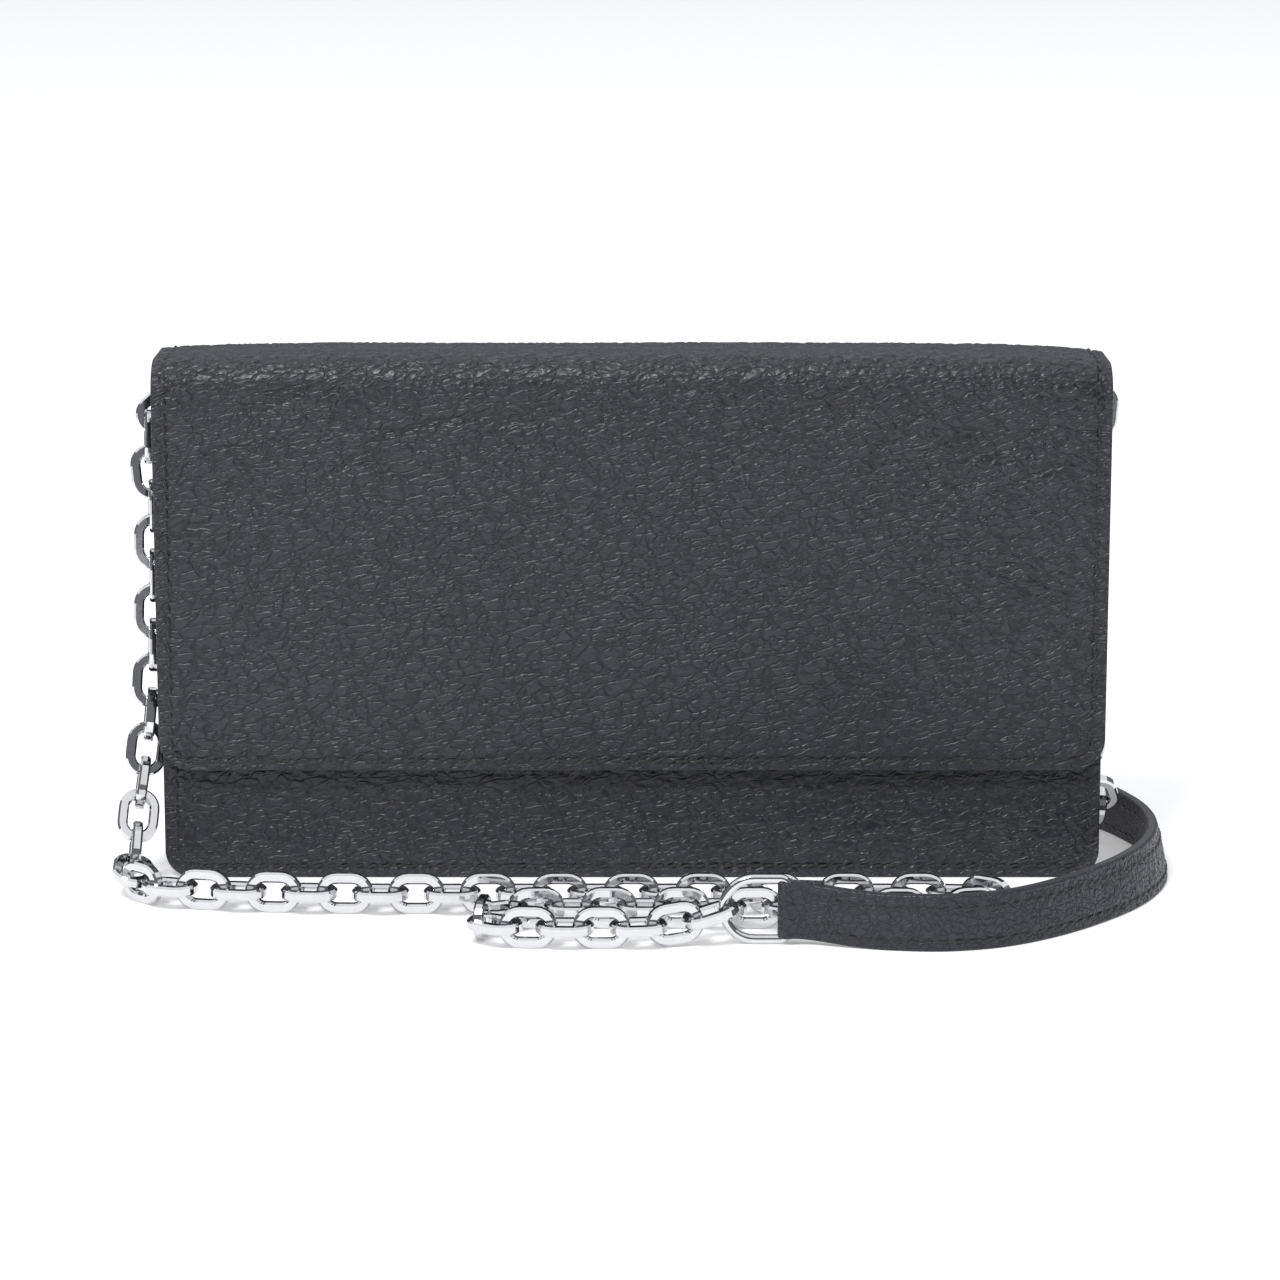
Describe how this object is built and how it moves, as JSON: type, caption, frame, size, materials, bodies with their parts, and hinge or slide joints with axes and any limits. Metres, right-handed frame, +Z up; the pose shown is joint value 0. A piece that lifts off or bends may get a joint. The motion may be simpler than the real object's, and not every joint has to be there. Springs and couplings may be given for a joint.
{
  "type": "chain wallet",
  "caption": "Flap wallet of black pebbled leather with a zip pocket, note and card compartments, and a chain and leather shoulder strap.",
  "frame": {"origin": "centre of the rest face: under the middle of the case, on the surface that it stands on", "axes": "+X to the right seen from the front, the flap's face looks towards -Y, +Z up"},
  "size_m": [0.2309, 0.1318, 0.1161],
  "materials": {
    "leather": "satin",
    "lining_leather": "matte",
    "strap_leather": "satin",
    "chrome": "polished",
    "steel": "satin",
    "board": "matte",
    "tape": "matte",
    "thread": "matte"
  },
  "bodies": {
    "case": {"back_leather": "leather", "back_board": "board", "back_lining": "lining_leather", "base_strip": "leather", "gusset_left": "leather", "gusset_right": "leather", "card_slip_1": "lining_leather", "card_slip_2": "lining_leather", "card_slip_3": "lining_leather", "card_slip_4": "lining_leather", "ring_tab_left": "lining_leather", "ring_tab_right": "lining_leather", "inner_ring_left": "chrome", "inner_ring_right": "chrome", "clasp_body_left": "chrome", "clasp_body_right": "chrome", "clasp_eye_left": "chrome", "clasp_eye_right": "chrome", "clasp_pin_left": "steel", "clasp_pin_right": "steel", "clasp_spring_left": "steel", "clasp_spring_right": "steel", "chain_left": "chrome", "chain_right": "chrome", "strap_outer": "strap_leather", "strap_lining": "strap_leather", "strap_ring_front": "chrome", "strap_ring_back": "chrome", "strap_loop_front": "strap_leather", "strap_loop_back": "strap_leather"},
    "top": {"top_leather": "leather", "top_lining": "lining_leather"},
    "flap": {"flap_leather": "leather", "flap_board": "board", "flap_lining": "lining_leather", "snap_socket": "chrome", "snap_cap": "steel"},
    "front": {"front_leather": "leather", "front_board": "board", "front_lining": "lining_leather", "front_slip": "lining_leather", "snap_stud": "chrome", "snap_rivet": "steel"},
    "zip_pocket": {"pocket_front_wall": "lining_leather", "pocket_back_wall": "lining_leather", "pocket_gusset": "lining_leather", "zip_tape_front": "tape", "zip_tape_back": "tape", "zip_teeth_front": "chrome", "zip_teeth_back": "chrome", "zip_stops": "chrome"},
    "slider": {"zip_slider": "chrome"},
    "pull": {"zip_pull": "chrome"},
    "gate_left": {"clasp_gate_left": "chrome"},
    "gate_right": {"clasp_gate_right": "chrome"}
  },
  "joints": [
    {"name": "top_fold", "type": "hinge", "parent": "case", "child": "top", "pos_m": [0, 0.01271, 0.11471], "axis": [-1, 0, 0], "range_deg": [0, 150]},
    {"name": "flap_fold", "type": "hinge", "parent": "top", "child": "flap", "pos_m": [0, -0.01249, 0.11449], "axis": [-1, 0, 0], "range_deg": [0, 90]},
    {"name": "front_open", "type": "hinge", "parent": "case", "child": "front", "pos_m": [0, -0.0106, 0], "axis": [1, 0, 0], "range_deg": [0, 12], "deforming": ["gusset_left", "gusset_right"]},
    {"name": "pocket_tilt", "type": "hinge", "parent": "case", "child": "zip_pocket", "pos_m": [0, 0.00038, 0.005], "axis": [1, 0, 0], "range_deg": [0, 6], "deforming": ["gusset_left", "gusset_right"]},
    {"name": "zip_slide", "type": "slide", "parent": "zip_pocket", "child": "slider", "axis": [1, 0, 0], "range_m": [0, 0.128]},
    {"name": "pull_swing", "type": "hinge", "parent": "slider", "child": "pull", "pos_m": [-0.0707, 0.00038, 0.0954], "axis": [0, -1, 0], "range_deg": [0, 90]},
    {"name": "gate_left_open", "type": "hinge", "parent": "case", "child": "gate_left", "pos_m": [-0.09, 0.0049, 0.104], "axis": [0, 0, 1], "range_deg": [0, 8], "stiffness_Nm_per_rad": 0.002, "springref_deg": -5.73},
    {"name": "gate_right_open", "type": "hinge", "parent": "case", "child": "gate_right", "pos_m": [0.09, 0.0049, 0.104], "axis": [0, 0, -1], "range_deg": [0, 8], "stiffness_Nm_per_rad": 0.002, "springref_deg": -5.73}
  ],
  "couplings": [
    {"joint": "flap_fold", "follows": "top_fold", "ratio": 0.6},
    {"joint": "front_open", "follows": "top_fold", "ratio": 0.08},
    {"joint": "pocket_tilt", "follows": "top_fold", "ratio": 0.04}
  ]
}
